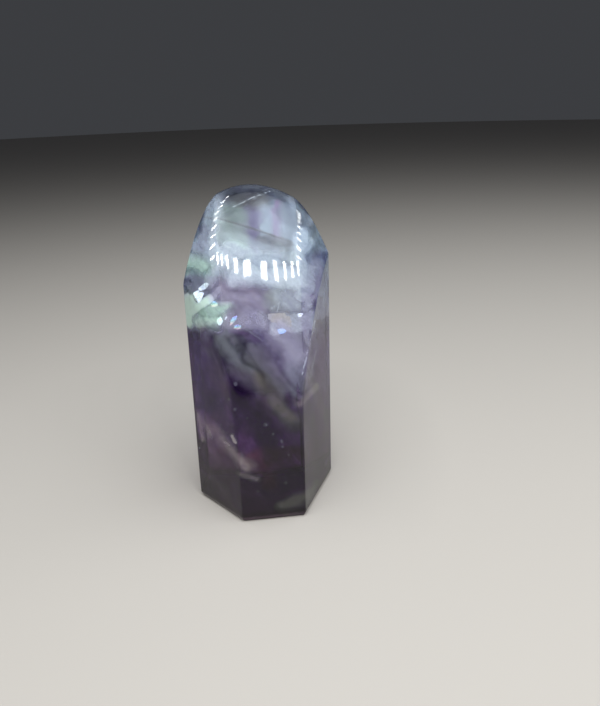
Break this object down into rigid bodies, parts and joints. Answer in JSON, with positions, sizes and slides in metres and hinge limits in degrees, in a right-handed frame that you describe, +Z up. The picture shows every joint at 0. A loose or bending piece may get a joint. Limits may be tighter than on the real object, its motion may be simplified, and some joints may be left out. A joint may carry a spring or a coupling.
{
  "type": "polished fluorite freeform",
  "caption": "Free-standing polished fluorite stone: a leaning column with flat sides and a flat foot, and a smooth domed crown that falls from its high back rim to the front.",
  "frame": {"origin": "on the flat foot that the stone rests on, under the middle of its bounding box", "axes": "+Z up along the stone's height, +X to the right seen from the front, -Y towards the front, where the crown comes down lowest"},
  "size_m": [0.0314, 0.0294, 0.0664],
  "materials": {
    "fluorite": "natural fluorite, polished, see-through, zoned from clear bluish green at the top to deep violet at the foot"
  },
  "bodies": {
    "root": {"fluorite_stone": "fluorite"}
  },
  "joints": []
}
